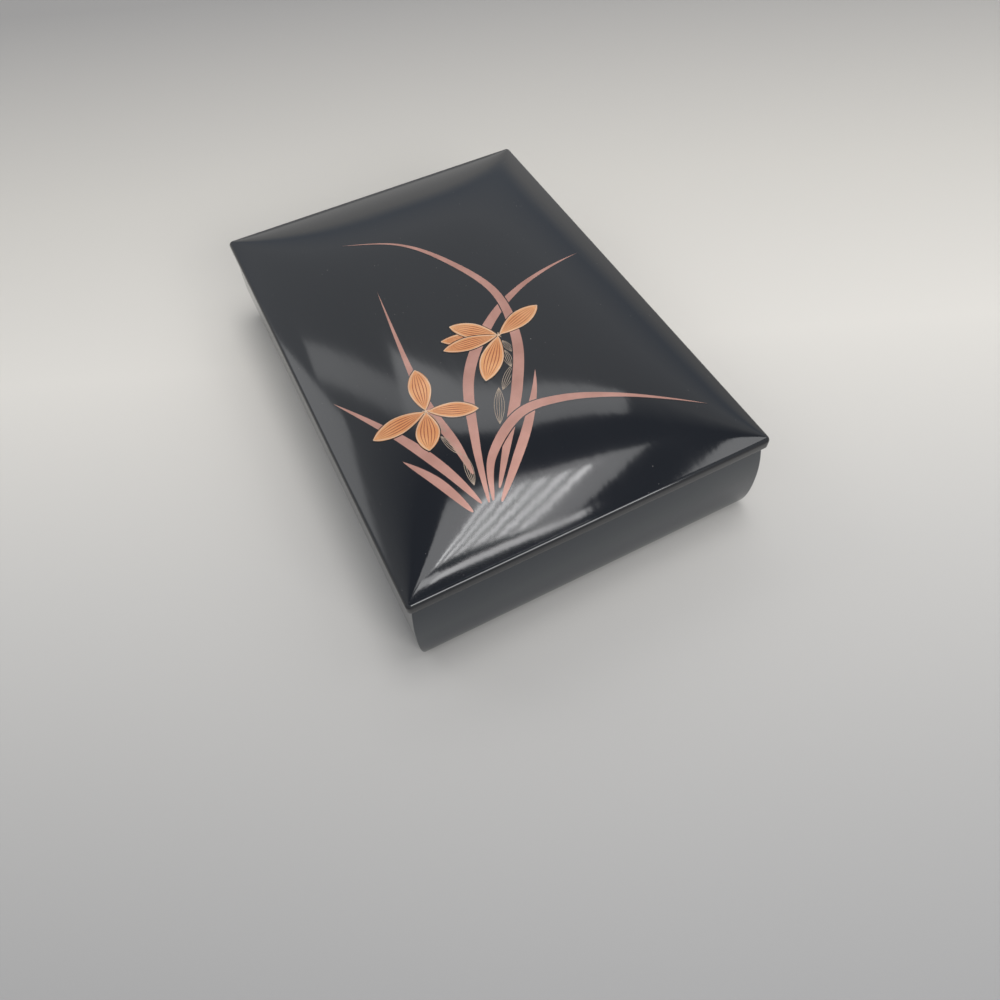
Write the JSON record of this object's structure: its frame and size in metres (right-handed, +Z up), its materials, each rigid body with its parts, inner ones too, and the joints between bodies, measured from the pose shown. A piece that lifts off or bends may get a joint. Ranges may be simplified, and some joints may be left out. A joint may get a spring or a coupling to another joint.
{
  "type": "lacquer box",
  "caption": "Low rectangular lacquer letter box with bowed walls and a domed lift-off lid, decorated with a copper and gold spray of leaves and blossoms.",
  "frame": {"origin": "centre of the underside, on the surface that the box stands on", "axes": "+Z up, Y along the long side with the front at -Y, X across the short side"},
  "size_m": [0.178, 0.258, 0.0633],
  "materials": {
    "black_lacquer": "black lacquer polished to a mirror gloss",
    "inner_lacquer": "black lacquer with a softer gloss",
    "core_wood": "bare wood",
    "copper_gold": "fine copper-rose metal powder under lacquer",
    "orange_gold": "fine orange-gold metal powder under lacquer"
  },
  "bodies": {
    "box": {"floor_board": "inner_lacquer", "front_wall": "black_lacquer", "back_wall": "black_lacquer", "left_wall": "black_lacquer", "right_wall": "black_lacquer", "front_inner_rim": "inner_lacquer", "back_inner_rim": "inner_lacquer", "left_inner_rim": "inner_lacquer", "right_inner_rim": "inner_lacquer", "corner_key_front_left_1": "core_wood", "corner_key_front_left_2": "core_wood", "corner_key_front_right_1": "core_wood", "corner_key_front_right_2": "core_wood", "corner_key_back_left_1": "core_wood", "corner_key_back_left_2": "core_wood", "corner_key_back_right_1": "core_wood", "corner_key_back_right_2": "core_wood"},
    "lid": {"lid_panel": "black_lacquer", "lid_front_rail": "black_lacquer", "lid_back_rail": "black_lacquer", "lid_left_rail": "black_lacquer", "lid_right_rail": "black_lacquer"}
  },
  "joints": [
    {"name": "lid_lift", "type": "slide", "parent": "box", "child": "lid", "axis": [0, 0, 1], "range_m": [0, 0.12]}
  ]
}
